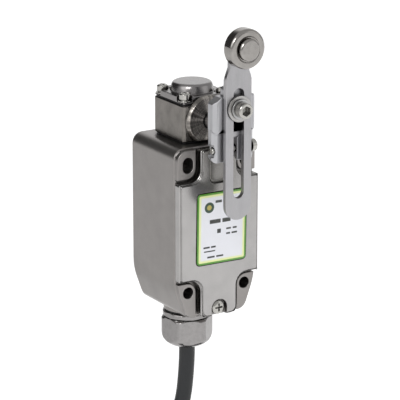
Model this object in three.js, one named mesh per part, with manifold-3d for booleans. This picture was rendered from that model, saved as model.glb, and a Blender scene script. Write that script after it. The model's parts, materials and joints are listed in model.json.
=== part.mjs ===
// Roller-lever limit switch with an adjustable lever and a moulded-on supply cable.
// Millimetres. The origin is the centre of the four mounting holes on the back face.
// +Y points into the wall, so the cover and the lever face -Y, and +Z points up.

import * as THREE from 'three';
import { mergeVertices } from 'three/addons/utils/BufferGeometryUtils.js';
import Module from 'manifold-3d';

const wasm = await Module();
wasm.setup();

// ---------------------------------------------------------------- driving dimensions

const GAP = 0.3; // between pieces that touch
const THIN_GAP = 0.2; // between stacked washers, seals and labels

const HOLE_SPACING_X = 30;
const HOLE_SPACING_Z = 60;
const MOUNT_HOLE_R = 2.65;
const MOUNT_SLOT_HEIGHT = 7.3;

const BODY_W = 42;
const BODY_D = 38;
const BODY_TOP = 37.5;
const BODY_BOTTOM = -43;
const SHOULDER_Z = -27.5; // the flanks start to taper here
const FOOT_HALF_W = 15.4; // half width of the bottom face, before its corners are rounded
const BODY_CORNER_R = 5;
const FOOT_CORNER_R = 5;
const WALL_BACK = 4;
const EAR_RISE = 2.2; // how far the mounting ears stand out of the flange
const EAR_INNER_X = 11;
const EAR_TOP_START = 23.6; // where the upper ears start
const EAR_BOTTOM_START = -25.5; // where the lower ears start

const COVER_THICK = 4.7;
const COVER_BACK = -BODY_D - GAP;
const COVER_FRONT = COVER_BACK - COVER_THICK;
const COVER_NECK_HALF_W = 9.6; // half width of the cover between two ears
const COVER_NOTCH_Z = 22.2;
const COVER_NOTCH_R = 5.4;
const COVER_RIM_DEPTH = 0.5; // the cover's edge is rounded off by this much
const COVER_RIM_W = 0.6;
const TROUGH_HALF_W = 5.4;
const TROUGH_DEPTH = 1.7;
const COVER_SCREW_TOP_Z = 34.2;
const COVER_SCREW_BOTTOM_Z = -38.8;

const HEAD_W = 25;
const HEAD_D = 26;
const HEAD_BOTTOM = 38.3;
const HEAD_TOP = 54.9;
const MID_Y = -BODY_D / 2; // the head, its cap and the plunger sit on this line
const CAP_SCREW_PITCH = 9.75; // half the spacing of the cap screws
const BOSS_R = 11.6;
const BOSS_FRONT = -34.6;
const SEAL_Y = [-33.2, -31.4]; // the shaft seal, inside the boss

const SHAFT_Z = 47.6;
const SHAFT_R = 3.2;
const SHAFT_FRONT = -55.4;
const SHAFT_BACK = -7.6;

const HOLDER_BACK = -50;
const HOLDER_FRONT = -55.9;
const LEG_FRONT = -54.8; // the clamping legs stand back from the arm
const LEG_HALF_W = 10.8;
const SLIT_HALF_W = 1.5;
const HOLDER_BEVEL = 1.8;
const CLAMP_Y = -52.4;
const CLAMP_Z = 38.9;
const CLAMP_SEAT = 9.9; // the legs are spotfaced to here for the clamping screw
const LOCK_Z = 58.3;

const ARM_THICK = 2.5;
const ARM_BACK = HOLDER_FRONT - THIN_GAP;
const ARM_FRONT = ARM_BACK - ARM_THICK;
const ARM_HALF_W = 6.7;
const ARM_FOOT_Z = 7.2;
const ARM_SHOULDER_Z = 71.5;
const ARM_NECK_Z = 77.2;
const ARM_TIP_R = 4.7;
const SLOT_HALF_W = 2.7;
const SLOT_BOTTOM_Z = 17.2;
const SLOT_TOP_Z = 67.4;

const ROLLER_Z = 86.2;
const ROLLER_R = 9;
const ROLLER_WIDTH = 6.4;
const PIN_HEAD_R = 5;
const PIN_R = 2.4;

const GLAND_Y = -14.2;
const CONDUIT_BOSS_R = 10.9;
const CONDUIT_BOSS_Z = -46.6;
const HEX_FLAT_R = 11; // half of 22 mm across flats
const HEX_CORNER_R = 12.05; // the corners are turned off to this
const COLLAR_CORNER_R = 11.4;
const HEX_TURN = THREE.MathUtils.degToRad(-81);
const COLLAR_BOTTOM = -50.1;
const NUT_TOP = -50.4;
const NUT_BOTTOM = -64.6;
const CABLE_R = 3.8;

const COIL_R = 45.5; // to the middle of the bundle of turns
const COIL_BUNDLE_R = 9.4;
const COIL_X = 13.4;
const COIL_Z = -155.4;
const TAIL_LENGTH = 68; // from the coil to the tips of the bared wires
const TAIL_CLEAR = 32.8; // the length of it that is clear of the coil

// ---------------------------------------------------------------- materials

function metal(hex, roughness) {
  return new THREE.MeshStandardMaterial({ color: hex, roughness, metalness: 1 });
}

function plastic(hex, roughness) {
  return new THREE.MeshStandardMaterial({ color: hex, roughness, metalness: 0 });
}

const looks = {
  castBody: () => metal(0xa39a93, 0.42),
  castCover: () => metal(0xb9b5b2, 0.4),
  castHead: () => metal(0x8f8984, 0.3),
  polished: () => metal(0xc9c9cc, 0.16),
  machined: () => metal(0xb9b8bc, 0.3),
  screw: () => metal(0xc2c1bf, 0.22),
  spring: () => metal(0x9a9a9a, 0.3),
  brass: () => metal(0xc2a15a, 0.35),
  bronze: () => metal(0xa57f4a, 0.45),
  rubber: () => plastic(0x1b1b1c, 0.7),
  cable: () => plastic(0x20262b, 0.55),
  moulding: () => plastic(0x23282b, 0.5),
  label: () => plastic(0xf4f5f0, 0.35),
  wire: () => plastic(0x6c7a86, 0.5),
  tie: () => plastic(0x15171a, 0.45),
};

// ---------------------------------------------------------------- solids

const group = new THREE.Group();

/** Adds one closed piece to the group as a named mesh. */
function add(name, solid, material) {
  const geometry = solid.isBufferGeometry ? solid : toGeometry(solid);
  const mesh = new THREE.Mesh(geometry, material);
  mesh.name = name;
  group.add(mesh);
  return mesh;
}

/** Turns a three.js geometry into a manifold solid. */
function solid(geometry) {
  const bare = geometry.clone();
  bare.deleteAttribute('normal');
  bare.deleteAttribute('uv');
  const merged = mergeVertices(bare, 1e-4);
  const mesh = new wasm.Mesh({
    numProp: 3,
    vertProperties: new Float32Array(merged.attributes.position.array),
    triVerts: new Uint32Array(merged.index.array),
  });
  return new wasm.Manifold(mesh);
}

/** Turns a manifold solid back into a three.js geometry with flat normals. */
function toGeometry(manifold) {
  const mesh = manifold.getMesh();
  const geometry = new THREE.BufferGeometry();
  geometry.setAttribute('position', new THREE.BufferAttribute(mesh.vertProperties, 3));
  geometry.setIndex(new THREE.BufferAttribute(mesh.triVerts, 1));
  const flat = geometry.toNonIndexed();
  flat.computeVertexNormals();
  return flat;
}

/** Joins a list of solids. */
function join(...solids) {
  return solids.reduce((whole, next) => whole.add(next));
}

/** Cuts every later solid out of the first. */
function cut(base, ...tools) {
  return tools.reduce((rest, tool) => rest.subtract(tool), base);
}

/** A closed outline from corners [x, y, radius], each corner rounded by its radius. */
function outline(corners, arcSteps = 5) {
  const points = [];
  corners.forEach(([x, y, radius], i) => {
    const corner = new THREE.Vector2(x, y);
    const before = corners[(i + corners.length - 1) % corners.length];
    const after = corners[(i + 1) % corners.length];
    const back = new THREE.Vector2(before[0], before[1]).sub(corner).normalize();
    const ahead = new THREE.Vector2(after[0], after[1]).sub(corner).normalize();
    if (!radius) {
      points.push(corner);
      return;
    }
    const half = Math.acos(THREE.MathUtils.clamp(back.dot(ahead), -1, 1)) / 2;
    const middle = back.clone().add(ahead).normalize();
    const centre = corner.clone().addScaledVector(middle, radius / Math.sin(half));
    const start = corner.clone().addScaledVector(back, radius / Math.tan(half)).sub(centre);
    const end = corner.clone().addScaledVector(ahead, radius / Math.tan(half)).sub(centre);
    let sweep = end.angle() - start.angle();
    if (sweep > Math.PI) sweep -= 2 * Math.PI;
    if (sweep < -Math.PI) sweep += 2 * Math.PI;
    for (let step = 0; step <= arcSteps; step += 1) {
      const angle = start.angle() + (sweep * step) / arcSteps;
      points.push(new THREE.Vector2(Math.cos(angle), Math.sin(angle)).multiplyScalar(radius).add(centre));
    }
  });
  return new THREE.Shape(points);
}

/** A rounded rectangle from its edges. */
function plate(left, right, bottom, top, radius = 0, arcSteps = 5) {
  return outline([[left, bottom, radius], [right, bottom, radius], [right, top, radius], [left, top, radius]],
    arcSteps);
}

/** A slot with round ends, upright, between the centres z0 and z1. */
function slot(x, z0, z1, radius, steps = 12) {
  const points = [];
  for (let i = 0; i <= steps; i += 1) {
    const angle = (Math.PI * i) / steps;
    points.push(new THREE.Vector2(x + radius * Math.cos(angle), z1 + radius * Math.sin(angle)));
  }
  for (let i = 0; i <= steps; i += 1) {
    const angle = Math.PI + (Math.PI * i) / steps;
    points.push(new THREE.Vector2(x + radius * Math.cos(angle), z0 + radius * Math.sin(angle)));
  }
  return new THREE.Shape(points);
}

/** An outline drawn in X and Z, made solid from yBack forwards to yFront, with bevelled edges. */
function alongY(shape, yBack, yFront, bevel = 0, bevelSegments = 2) {
  const geometry = new THREE.ExtrudeGeometry(shape, {
    depth: yBack - yFront - 2 * bevel,
    bevelEnabled: bevel > 0,
    bevelThickness: bevel,
    bevelSize: bevel,
    bevelOffset: -bevel,
    bevelSegments,
  });
  geometry.rotateX(Math.PI / 2);
  geometry.translate(0, yBack - bevel, 0);
  return solid(geometry);
}

/** An outline drawn in X and Y, made solid from z0 up to z1, with bevelled edges. */
function alongZ(shape, z0, z1, bevel = 0) {
  const geometry = new THREE.ExtrudeGeometry(shape, {
    depth: z1 - z0 - 2 * bevel,
    bevelEnabled: bevel > 0,
    bevelThickness: bevel,
    bevelSize: bevel,
    bevelOffset: -bevel,
    bevelSegments: 2,
  });
  geometry.translate(0, 0, z0 + bevel);
  return solid(geometry);
}

/** A straight-sided box from its low and high corners. */
function box(low, high) {
  const geometry = new THREE.BoxGeometry(high[0] - low[0], high[1] - low[1], high[2] - low[2]);
  geometry.translate((low[0] + high[0]) / 2, (low[1] + high[1]) / 2, (low[2] + high[2]) / 2);
  return solid(geometry);
}

/** A turned piece from a profile of [radius, height], about the Z axis through (x, y). */
function turnedZ(profile, x, y, segments = 32) {
  const geometry = new THREE.LatheGeometry(profile.map(([r, h]) => new THREE.Vector2(r, h)), segments);
  geometry.rotateX(Math.PI / 2);
  geometry.translate(x, y, 0);
  return outward(geometry);
}

/** A turned piece about a Y axis through (x, z), from a profile of [radius, y]. */
function turnedY(profile, x, z, segments = 32) {
  const geometry = new THREE.LatheGeometry(profile.map(([r, h]) => new THREE.Vector2(r, h)), segments);
  geometry.translate(x, 0, z);
  return outward(geometry);
}

/** A turned piece about an X axis through (y, z), from a profile of [radius, x]. */
function turnedX(profile, y, z, segments = 24) {
  const geometry = new THREE.LatheGeometry(profile.map(([r, h]) => new THREE.Vector2(r, h)), segments);
  geometry.rotateZ(-Math.PI / 2);
  geometry.translate(0, y, z);
  return outward(geometry);
}

/** Makes a solid whose faces point outwards, whichever way its profile ran. */
function outward(geometry) {
  const piece = solid(geometry);
  if (piece.volume() > 0) return piece;
  const flipped = geometry.clone();
  const index = flipped.index.array;
  for (let i = 0; i < index.length; i += 3) {
    const kept = index[i];
    index[i] = index[i + 2];
    index[i + 2] = kept;
  }
  return solid(flipped);
}

/** Profile of a plain rod or disc, from the axis out and back. */
function rod(radius, low, high, chamfer = 0) {
  if (!chamfer) return [[0, low], [radius, low], [radius, high], [0, high]];
  return [[0, low], [radius - chamfer, low], [radius, low + chamfer], [radius, high - chamfer],
    [radius - chamfer, high], [0, high]];
}

/** Profile of a ring with an open middle. */
function ring(inner, outer, low, high, chamfer = 0) {
  if (!chamfer) return [[inner, low], [outer, low], [outer, high], [inner, high], [inner, low]];
  return [[inner, low], [outer - chamfer, low], [outer, low + chamfer], [outer, high - chamfer],
    [outer - chamfer, high], [inner, high], [inner, low]];
}

/** A six-sided prism about a Z axis, with its corners trimmed by a cone at each end. */
function hexagonZ(flatRadius, x, y, z0, z1, turn, trim) {
  const cornerRadius = flatRadius / Math.cos(Math.PI / 6);
  const points = [];
  for (let i = 0; i < 6; i += 1) {
    const angle = turn + (i * Math.PI) / 3;
    points.push(new THREE.Vector2(x + cornerRadius * Math.cos(angle), y + cornerRadius * Math.sin(angle)));
  }
  const prism = alongZ(new THREE.Shape(points), z0, z1);
  const reach = cornerRadius - flatRadius + trim;
  const profile = [[0, z0], [cornerRadius - reach, z0], [cornerRadius, z0 + reach * 0.55],
    [cornerRadius, z1 - reach * 0.55], [cornerRadius - reach, z1], [0, z1]];
  return prism.intersect(turnedZ(profile, x, y, 36));
}

/** A wire or cable of a given radius along a smooth line through the points. */
function tube(points, radius, steps, sides = 8) {
  const section = new THREE.Shape();
  for (let i = 0; i < sides; i += 1) {
    const angle = (2 * Math.PI * i) / sides;
    const place = [radius * Math.cos(angle), radius * Math.sin(angle)];
    if (i === 0) section.moveTo(...place);
    else section.lineTo(...place);
  }
  const path = new THREE.CatmullRomCurve3(points.map((p) => new THREE.Vector3(...p)));
  return solid(new THREE.ExtrudeGeometry(section, { steps, extrudePath: path, bevelEnabled: false }));
}

// ---------------------------------------------------------------- housing

/** The outline shared by the body and its cover, drawn in X and Z. */
function housingOutline(inset = 0) {
  const half = BODY_W / 2 - inset;
  const foot = FOOT_HALF_W - inset * 0.7;
  return outline([
    [-half, BODY_TOP - inset, BODY_CORNER_R],
    [-half, SHOULDER_Z, 28],
    [-foot, BODY_BOTTOM + inset, FOOT_CORNER_R],
    [foot, BODY_BOTTOM + inset, FOOT_CORNER_R],
    [half, SHOULDER_Z, 28],
    [half, BODY_TOP - inset, BODY_CORNER_R],
  ]);
}

/** The hollow for the contacts: wide in the middle, narrow between the ears. */
function cavityOutline(grow) {
  const wide = 17 + grow;
  const narrow = 6.9 + grow;
  const wideTop = 19.2 + grow;
  const wideBottom = -21.2 - grow;
  const top = 30.6 + grow;
  const bottom = -35.6 - grow;
  return outline([
    [-narrow, top, 1.5], [-narrow, wideTop, 1], [-wide, wideTop, 2], [-wide, wideBottom, 2],
    [-narrow, wideBottom, 1], [-narrow, bottom, 2], [narrow, bottom, 2], [narrow, wideBottom, 1],
    [wide, wideBottom, 2], [wide, wideTop, 2], [narrow, wideTop, 1], [narrow, top, 1.5],
  ], 3);
}

const EAR_FRONT = -BODY_D - EAR_RISE;
const GASKET_LEDGE = 1.7;
const GASKET_FLOOR = -BODY_D + 1.6;

/** One raised ear round a mounting hole, cut to the housing outline later. */
function ear(side, level) {
  const inner = side * EAR_INNER_X;
  const outer = side * (BODY_W / 2 + 2);
  const start = level > 0 ? EAR_TOP_START : EAR_BOTTOM_START;
  const end = level * 46;
  return alongY(outline([[inner, start, 4.6], [outer, start, 0], [outer, end, 0], [inner, end, 0]]),
    -BODY_D + 1, EAR_FRONT);
}

function makeBody() {
  const shell = alongY(housingOutline(), 0, -BODY_D, 1.3, 3);
  const trim = alongY(housingOutline(0.5), -2, EAR_FRONT - 1);
  const ears = join(ear(-1, 1), ear(1, 1), ear(-1, -1), ear(1, -1)).intersect(trim);
  const conduitBoss = turnedZ([[0, -40], [CONDUIT_BOSS_R + 0.8, -40], [CONDUIT_BOSS_R + 0.8, -42.9],
    [CONDUIT_BOSS_R, -44], [CONDUIT_BOSS_R, CONDUIT_BOSS_Z], [0, CONDUIT_BOSS_Z]], 0, GLAND_Y, 40);
  const holes = [];
  for (const side of [-1, 1]) {
    const x = (side * HOLE_SPACING_X) / 2;
    const reach = (MOUNT_SLOT_HEIGHT - 2 * MOUNT_HOLE_R) / 2;
    const low = -HOLE_SPACING_Z / 2;
    const high = HOLE_SPACING_Z / 2;
    holes.push(turnedY(rod(MOUNT_HOLE_R, -BODY_D - 6, 2), x, low, 24));
    holes.push(alongY(slot(x, high - reach, high + reach, MOUNT_HOLE_R), 2, -BODY_D - 6));
    for (const row of [-1, 1]) {
      const bore = rod(1.8, BODY_TOP - 5.7, BODY_TOP + 1);
      holes.push(turnedZ(bore, side * CAP_SCREW_PITCH, MID_Y + row * CAP_SCREW_PITCH, 14));
    }
  }
  return cut(join(shell, ears, conduitBoss),
    alongY(cavityOutline(0), -WALL_BACK, -BODY_D - 6),
    alongY(cavityOutline(GASKET_LEDGE), GASKET_FLOOR, -BODY_D - 0.5),
    turnedZ(rod(5.2, 28, BODY_TOP + 1), 0, MID_Y, 32),
    turnedZ(rod(8.3, CONDUIT_BOSS_Z - 1, -34), 0, GLAND_Y, 36),
    turnedY(rod(1.8, -BODY_D - 1, -29), 0, COVER_SCREW_TOP_Z, 16),
    turnedY(rod(1.8, -BODY_D - 1, -29), 0, COVER_SCREW_BOTTOM_Z, 16),
    turnedY(rod(1.6, -WALL_BACK - 1, -1.4), 13, -14, 16),
    ...holes);
}

const LABEL_CENTRE = [0.95, -0.3];
const LABEL_SIZE = [26, 33.3];
const LABEL_TURN = THREE.MathUtils.degToRad(0.9);
const LABEL_FLOOR = COVER_FRONT + 0.25;

/** The label's rounded rectangle, a little larger by grow, from yBack to yFront. */
function labelSlab(grow, yBack, yFront) {
  const halfW = LABEL_SIZE[0] / 2 + grow;
  const halfH = LABEL_SIZE[1] / 2 + grow;
  return alongY(plate(-halfW, halfW, -halfH, halfH, 1.6 + grow), yBack, yFront)
    .rotate([0, THREE.MathUtils.radToDeg(LABEL_TURN), 0])
    .translate([LABEL_CENTRE[0], 0, LABEL_CENTRE[1]]);
}

/** The cover's outline, or one drawn the same distance inside it all round. */
function coverOutline(inset) {
  const top = BODY_TOP - 0.4 - inset;
  const bottom = BODY_BOTTOM + 0.4 + inset;
  const half = BODY_W / 2 - inset;
  const neck = COVER_NECK_HALF_W - inset;
  const inner = COVER_NOTCH_R + inset * 0.6;
  const high = COVER_NOTCH_Z - inset;
  const low = -COVER_NOTCH_Z - 1.9 + inset;
  return outline([
    [-neck, top, 1.6], [-neck, high, inner], [-half, high, 1.2], [-half, low, 1.2],
    [-neck, low, inner], [-neck, bottom, 3], [neck, bottom, 3], [neck, low, inner],
    [half, low, 1.2], [half, high, 1.2], [neck, high, inner], [neck, top, 1.6],
  ]);
}

function makeCover() {
  const top = BODY_TOP - 0.4;
  const rim = alongY(coverOutline(0), COVER_BACK, COVER_FRONT + COVER_RIM_DEPTH, 0.6);
  const middle = alongY(coverOutline(COVER_RIM_W), COVER_BACK - 1.2, COVER_FRONT, 0.4);
  const screwPocket = (z, sign) => {
    const reach = sign * 12;
    const u = outline([[-4.1, z + reach, 0], [-4.1, z - sign * 4.1, 4], [4.1, z - sign * 4.1, 4],
      [4.1, z + reach, 0]]);
    return alongY(u, COVER_BACK - 2.2, COVER_FRONT - 1);
  };
  const trough = alongY(plate(-TROUGH_HALF_W, TROUGH_HALF_W, 20.6, top + 6, 3), COVER_FRONT + TROUGH_DEPTH,
    COVER_FRONT - 4, TROUGH_DEPTH - 0.1, 5);
  return cut(join(rim, middle),
    screwPocket(COVER_SCREW_BOTTOM_Z, -1),
    screwPocket(COVER_SCREW_TOP_Z, 1),
    trough,
    labelSlab(0.25, LABEL_FLOOR, COVER_FRONT - 1),
    turnedY(rod(1.9, COVER_FRONT, COVER_BACK + 1), 0, COVER_SCREW_TOP_Z, 16),
    turnedY(rod(1.9, COVER_FRONT, COVER_BACK + 1), 0, COVER_SCREW_BOTTOM_Z, 16));
}

function makeCoverGasket() {
  const outer = alongY(cavityOutline(GASKET_LEDGE - GAP), GASKET_FLOOR - GAP, -BODY_D);
  return cut(outer, alongY(cavityOutline(0), GASKET_FLOOR + 1, -BODY_D - 1));
}

/** A cross-recessed pan-head screw pointing along -Y from its head at yFront. */
function panScrewY(x, z, headR, yHeadBack, yFront, shankR, yTip) {
  const head = turnedY([[0, yTip], [shankR, yTip], [shankR, yHeadBack], [headR, yHeadBack],
    [headR, yFront + 0.7], [headR * 0.72, yFront + 0.1], [0, yFront]], x, z, 16);
  const arm = headR * 0.58;
  return cut(head,
    box([x - arm, yFront - 1, z - 0.4], [x + arm, yFront + 1.1, z + 0.4]),
    box([x - 0.4, yFront - 1, z - arm], [x + 0.4, yFront + 1.1, z + arm]));
}

add('body', makeBody(), looks.castBody());
add('cover', makeCover(), looks.castCover());
add('cover_gasket', makeCoverGasket(), looks.rubber());
const COVER_SEAT = COVER_BACK - 2.2;
add('cover_screw_top', panScrewY(0, COVER_SCREW_TOP_Z, 3.3, COVER_SEAT - GAP, COVER_SEAT - 2.1, 1.5, -30),
  looks.screw());
add('cover_screw_bottom', panScrewY(0, COVER_SCREW_BOTTOM_Z, 3.3, COVER_SEAT - GAP, COVER_SEAT - 2.1, 1.5, -30),
  looks.screw());
add('label_plate', labelSlab(0, LABEL_FLOOR - THIN_GAP, COVER_FRONT - 0.25), looks.label());

// ---------------------------------------------------------------- head

const HEAD_CAVITY_R = 9.2;
const HEAD_CAVITY_FLOOR = 41;
const CAP_FLANGE = [55.6, 58.8];
const CAP_SEAT = 56.4; // the corners of the cap are spotfaced down to here
const CAP_SPOT_R = 3.6;
const CAP_SCREW_TOP = 60.6;
const CAP_TOP = 63;

/** The four cap screw positions, seen from above. */
const capScrewPlaces = [[-1, 1], [1, 1], [-1, -1], [1, -1]]
  .map(([sx, sy]) => [sx * CAP_SCREW_PITCH, MID_Y + sy * CAP_SCREW_PITCH]);

/** A square outline round the head's middle, seen from above. */
function headSquare(inset, radius) {
  return plate(-HEAD_W / 2 + inset, HEAD_W / 2 - inset, MID_Y - HEAD_D / 2 + inset, MID_Y + HEAD_D / 2 - inset,
    radius, 3);
}

/** Four upright drillings at the cap screws. */
function capScrewBores(radius, z0, z1) {
  return capScrewPlaces.map(([x, y]) => turnedZ(rod(radius, z0, z1), x, y, 14));
}

function makeHead() {
  const block = alongZ(headSquare(0, 1.5), HEAD_BOTTOM, HEAD_TOP, 0.3);
  const boss = turnedY([[0, -30], [BOSS_R, -30], [BOSS_R, BOSS_FRONT + 1.4], [BOSS_R - 0.9, BOSS_FRONT],
    [0, BOSS_FRONT]], 0, SHAFT_Z, 56);
  const bossRoom = box([-20, -40, HEAD_BOTTOM + 0.4], [20, MID_Y - HEAD_D / 2, 70]);
  return cut(join(block, boss.intersect(bossRoom)),
    turnedZ(rod(HEAD_CAVITY_R, HEAD_CAVITY_FLOOR, HEAD_TOP + 1), 0, MID_Y, 28),
    box([-6.6, MID_Y - 10, HEAD_CAVITY_FLOOR], [6.6, MID_Y + 10, HEAD_TOP + 1]),
    turnedZ(rod(5.2, HEAD_BOTTOM - 1, HEAD_CAVITY_FLOOR + 1), 0, MID_Y, 24),
    turnedY(rod(SHAFT_R + 0.3, BOSS_FRONT - 1, MID_Y), 0, SHAFT_Z, 28),
    turnedY(rod(4.9, SEAL_Y[0] - THIN_GAP, MID_Y), 0, SHAFT_Z, 28),
    turnedY(rod(SHAFT_R + 0.2, MID_Y, SHAFT_BACK + 0.4), 0, SHAFT_Z, 24),
    ...capScrewBores(1.8, HEAD_BOTTOM - 1, HEAD_TOP + 1));
}

function makeCap() {
  const flange = alongZ(headSquare(0.1, 1.5), ...CAP_FLANGE, 0.35);
  const dome = turnedZ([[0, CAP_FLANGE[0]], [9.9, CAP_FLANGE[0]], [9.9, 59.2], [9.65, 60.6], [9.3, 61.8],
    [8.8, 62.6], [7.9, CAP_TOP], [0, CAP_TOP]], 0, MID_Y, 40);
  const pocket = turnedZ([[0, 55], [8.4, 55], [8.4, 60.4], [7.2, 61.2], [0, 61.2]], 0, MID_Y, 24);
  const spots = capScrewPlaces.map(([x, y]) => turnedZ(rod(CAP_SPOT_R, CAP_SEAT, 62), x, y, 24));
  return cut(join(cut(flange, ...spots), dome), pocket, ...capScrewBores(1.8, 55, 60));
}

/** A thin square seal with a round opening, drilled for the cap screws. */
function squareSeal(z0, z1, openingR, inset) {
  return cut(alongZ(headSquare(inset, 1.4), z0, z1),
    turnedZ(rod(openingR, z0 - 1, z1 + 1), 0, MID_Y, 24),
    ...capScrewBores(1.8, z0 - 1, z1 + 1));
}

/** A long cap screw with a captive washer and a cross-recessed pan head, its head up. */
function capScrew(x, y) {
  const seat = CAP_SEAT + THIN_GAP;
  const top = CAP_SCREW_TOP;
  const screw = turnedZ([[0, BODY_TOP - 5.3], [1.5, BODY_TOP - 5.3], [1.5, seat], [3.1, seat], [3.1, seat + 0.5],
    [2.2, seat + 0.5], [2.2, seat + 1.1], [2.6, seat + 1.1], [2.6, top - 0.7], [2, top - 0.15], [0, top]],
  x, y, 18);
  return cut(screw,
    box([x - 1.5, y - 0.35, top - 1.2], [x + 1.5, y + 0.35, top + 1]),
    box([x - 0.35, y - 1.5, top - 1.2], [x + 0.35, y + 1.5, top + 1]));
}

add('head', makeHead(), looks.castHead());
add('head_gasket', squareSeal(BODY_TOP + THIN_GAP, HEAD_BOTTOM - THIN_GAP, 6, 0.6), looks.rubber());
add('cap_gasket', squareSeal(HEAD_TOP + THIN_GAP, CAP_FLANGE[0] - THIN_GAP, 9.4, 0.5), looks.rubber());
add('head_cap', makeCap(), looks.castHead());
capScrewPlaces.forEach(([x, y], i) => {
  add(`cap_screw_${i + 1}`, capScrew(x, y), looks.screw());
});

// ---------------------------------------------------------------- shaft, cam and return spring

const BUSH_INNER_END = -27.4;
const CAM_Y = [-23.4, -15];

add('shaft_bush', turnedY(ring(SHAFT_R + 0.2, 4.6, SEAL_Y[1] + GAP, BUSH_INNER_END), 0, SHAFT_Z, 24),
  looks.bronze());
add('shaft_seal', turnedY(ring(SHAFT_R + 0.25, 4.6, ...SEAL_Y), 0, SHAFT_Z, 32), looks.rubber());
add('shaft', turnedY(rod(SHAFT_R, SHAFT_FRONT, SHAFT_BACK, 0.4), 0, SHAFT_Z, 32), looks.machined());

function makeCam() {
  const disc = turnedY(ring(SHAFT_R + GAP, 5.4, ...CAM_Y), 0, SHAFT_Z, 28);
  const flat = box([-6, CAM_Y[0] - 1, SHAFT_Z - 8], [6, CAM_Y[1] + 1, SHAFT_Z - 4.4]);
  return cut(disc, flat);
}

add('cam', makeCam(), looks.machined());
add('shaft_circlip', cut(turnedY(ring(SHAFT_R + 0.25, 4.9, -26.2, -25.4), 0, SHAFT_Z, 28),
  box([-1, -27, SHAFT_Z - 6], [1, -25, SHAFT_Z])), looks.spring());

/** A coil of wire about an axis, as a list of points. */
function helix(turns, perTurn, place) {
  const points = [];
  const count = turns * perTurn;
  for (let i = 0; i <= count; i += 1) {
    points.push(place((2 * Math.PI * i) / perTurn, i / count));
  }
  return points;
}

const returnSpringPath = helix(3, 12, (angle, t) => [
  5.4 * Math.cos(angle), -14 + 3.6 * t, SHAFT_Z + 5.4 * Math.sin(angle)]);
add('return_spring', tube(returnSpringPath, 0.5, 36, 6), looks.spring());

// ---------------------------------------------------------------- plunger and contacts

const PLUNGER_TOP = 41.9;
const BRIDGE_Z = [11.6, 12.9];
const SHOULDER = [9.9, 11.3];
const BLOCK = { x: 11, back: -8.5, front: -33, bottom: -17, top: 18.7 };

add('plunger_guide', turnedZ(ring(2.9, 4.9, 29.5, HEAD_CAVITY_FLOOR - 0.5), 0, MID_Y, 20), looks.bronze());
add('plunger', turnedZ([[0, 2], [1.3, 2], [1.3, SHOULDER[0]], [3.4, SHOULDER[0]], [3.4, SHOULDER[1]],
  [2.5, SHOULDER[1]], [2.5, PLUNGER_TOP - 1], [1.7, PLUNGER_TOP - 0.2], [0, PLUNGER_TOP]], 0, MID_Y, 20),
looks.polished());
add('contact_bridge', cut(box([-8.8, MID_Y - 4, BRIDGE_Z[0]], [8.8, MID_Y + 4, BRIDGE_Z[1]]),
  turnedZ(rod(2.8, 10, 14), 0, MID_Y, 24)), looks.brass());

const plungerSpringPath = helix(4, 12, (angle, t) => [
  2.5 * Math.cos(angle), MID_Y + 2.5 * Math.sin(angle), -2.8 + 11.9 * t]);
add('plunger_spring', tube(plungerSpringPath, 0.4, 44, 6), looks.spring());

const bladeLevels = [
  { name: 'closed', z: 13.2, tab: [12, 17.6] },
  { name: 'open', z: 7.2, tab: [2.8, 8.4] },
];
const BLADE_THICK = 1.2;
const TAB_Y = [-31.6, -30.4];

function makeContactBlock() {
  const windows = [];
  for (const { z } of bladeLevels) {
    windows.push(box([-BLOCK.x - 1, MID_Y - 2.6, z - GAP], [BLOCK.x + 1, MID_Y + 2.6, z + BLADE_THICK + GAP]));
  }
  return cut(
    alongY(plate(-BLOCK.x, BLOCK.x, BLOCK.bottom, BLOCK.top, 1), BLOCK.back, BLOCK.front),
    box([-9.4, BLOCK.front - 1, -14], [9.4, -12, 16.6]),
    turnedZ(rod(3, 16, 21), 0, MID_Y, 20),
    ...windows,
  ).add(turnedZ(rod(4.6, -15, -3.5), 0, MID_Y, 24))
    .add(box([-4, MID_Y, -15], [4, -11, -4]))
    .subtract(turnedZ(rod(1.8, -12, 0), 0, MID_Y, 20));
}

/** One fixed contact: a strip from under or over the bridge out to a terminal tab. */
function contactBlade(side, level) {
  const strip = box([5.6, MID_Y - 2, level.z], [16.4, MID_Y + 2, level.z + BLADE_THICK]);
  const rail = box([12.2, TAB_Y[0], level.z], [16.4, MID_Y, level.z + BLADE_THICK]);
  const tab = box([11.8, TAB_Y[0], level.tab[0]], [16.4, TAB_Y[1], level.tab[1]]);
  const middle = (level.tab[0] + level.tab[1]) / 2;
  const blade = cut(join(strip, rail, tab), turnedY(rod(1.5, -35, -26), 14.1, middle, 16));
  return side > 0 ? blade : blade.mirror([1, 0, 0]);
}

add('contact_block', makeContactBlock(), looks.moulding());
for (const level of bladeLevels) {
  for (const [side, hand] of [[-1, 'left'], [1, 'right']]) {
    const middle = (level.tab[0] + level.tab[1]) / 2;
    add(`contact_${level.name}_${hand}`, contactBlade(side, level), looks.brass());
    add(`terminal_screw_${level.name}_${hand}`,
      panScrewY(side * 14.1, middle, 2.2, TAB_Y[0] - GAP, TAB_Y[0] - 1.9, 1.2, -27), looks.screw());
  }
}
add('earth_screw', panScrewY(13, -14, 2.8, -WALL_BACK - GAP, -WALL_BACK - 2.4, 1.3, -1.8), looks.brass());

// ---------------------------------------------------------------- lever

/** A post that bevels one of the holder's front corners: side -1 is the left one. */
function frontBevel(side, halfW, front, low, high) {
  const size = 2;
  const out = size / Math.SQRT2 - HOLDER_BEVEL / 2;
  return box([-size, -size, low], [size, size, high]).rotate([0, 0, 45])
    .translate([side * (halfW + out), front - out, 0]);
}

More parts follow.
